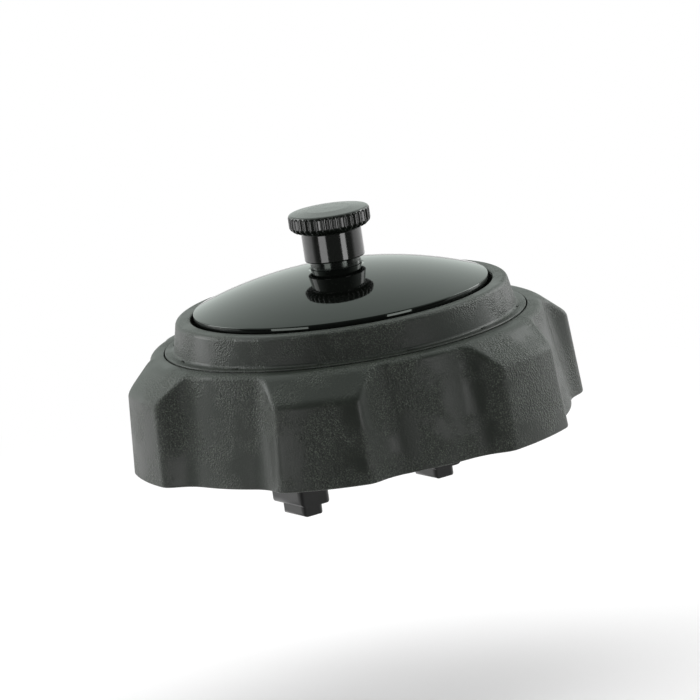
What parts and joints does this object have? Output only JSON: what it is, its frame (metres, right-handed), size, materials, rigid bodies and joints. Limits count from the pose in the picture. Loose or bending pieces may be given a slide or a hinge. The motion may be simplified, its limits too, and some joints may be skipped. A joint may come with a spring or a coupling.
{
  "type": "fuel filler cap",
  "caption": "Round bayonet fuel filler cap: lobed grip skirt, gloss domed cover, ribbed vent knob, and hooked legs inside a rubber neck gasket.",
  "frame": {"origin": "centre of the neck gasket's sealing face", "axes": "+Z along the cap's axis, out of the tank and towards the vent knob; +X through one of the two bayonet legs"},
  "size_m": [0.106, 0.105, 0.0674],
  "materials": {
    "skirt_plastic": "moulded grain, satin",
    "body_plastic": "moulded grain, satin",
    "cover_plastic": "mirror gloss",
    "knob_plastic": "gloss stem, satin head",
    "carrier_plastic": "smooth moulded",
    "seal_rubber": "matt moulded",
    "spindle_metal": "black coated",
    "brass": "turned",
    "spring_steel": "drawn",
    "zinc_steel": "zinc plated",
    "sintered_bronze": "sintered, rough"
  },
  "bodies": {
    "cap": {"grip_skirt": "skirt_plastic", "cap_body": "body_plastic", "dome_cover": "cover_plastic", "cover_gasket": "seal_rubber", "neck_gasket": "seal_rubber", "vent_spindle": "spindle_metal", "spindle_o_ring": "seal_rubber", "guide_pins": "zinc_steel", "pressure_spring": "spring_steel", "spring_washer": "zinc_steel", "lock_washer": "spring_steel", "spindle_nut": "zinc_steel", "splash_baffle": "carrier_plastic", "vent_filter": "sintered_bronze", "skirt_screws": "zinc_steel"},
    "carrier": {"bayonet_carrier": "carrier_plastic", "spring_seat": "zinc_steel"},
    "vent_valve": {"valve_holder": "brass", "valve_seal": "seal_rubber", "holder_clip": "spring_steel"},
    "vent_screw": {"vent_knob": "knob_plastic", "vent_stud": "brass"}
  },
  "joints": [
    {"name": "hook_travel", "type": "slide", "parent": "cap", "child": "carrier", "axis": [0, 0, -1], "range_m": [0, 0.002], "stiffness_N_per_m": 10000, "deforming": ["pressure_spring"]},
    {"name": "vent_lift", "type": "slide", "parent": "cap", "child": "vent_valve", "axis": [0, 0, 1], "range_m": [-0.0018, 0.0015]},
    {"name": "vent_turn", "type": "hinge", "parent": "vent_valve", "child": "vent_screw", "pos_m": [0, 0, 0.0383], "axis": [0, 0, 1], "range_deg": [-432, 360]}
  ],
  "couplings": [
    {"joint": "vent_turn", "follows": "vent_lift", "rad_per_m": 4188.8}
  ]
}
